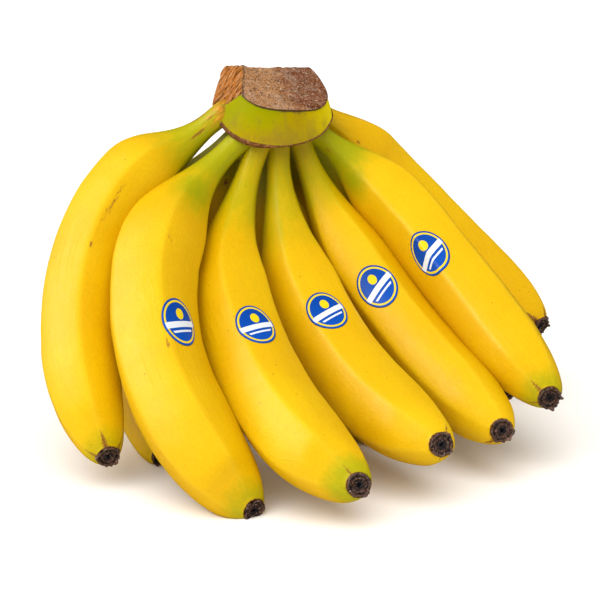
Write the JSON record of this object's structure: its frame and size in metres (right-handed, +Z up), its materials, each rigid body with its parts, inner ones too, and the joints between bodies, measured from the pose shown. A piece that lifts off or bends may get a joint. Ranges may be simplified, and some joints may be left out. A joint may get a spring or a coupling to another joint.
{
  "type": "bunch of bananas",
  "caption": "Hand of ripe yellow bananas curving down from one sawn crown, with small oval paper stickers on the front ones.",
  "frame": {"origin": "middle of the bounding box's base, on the surface that the bunch rests on", "axes": "+Z up through the crown, +X along the crown's long side, -Y towards the banana tips"},
  "size_m": [0.255, 0.2147, 0.1651],
  "materials": {
    "skin": "satin yellow banana skin, green at the necks and near the tips, brown dried crown cut and tip stubs",
    "sticker": "glossy printed blue paper"
  },
  "bodies": {
    "root": {"banana_hand": "skin", "sticker_1": "sticker", "sticker_2": "sticker", "sticker_3": "sticker", "sticker_4": "sticker", "sticker_5": "sticker"}
  },
  "joints": []
}
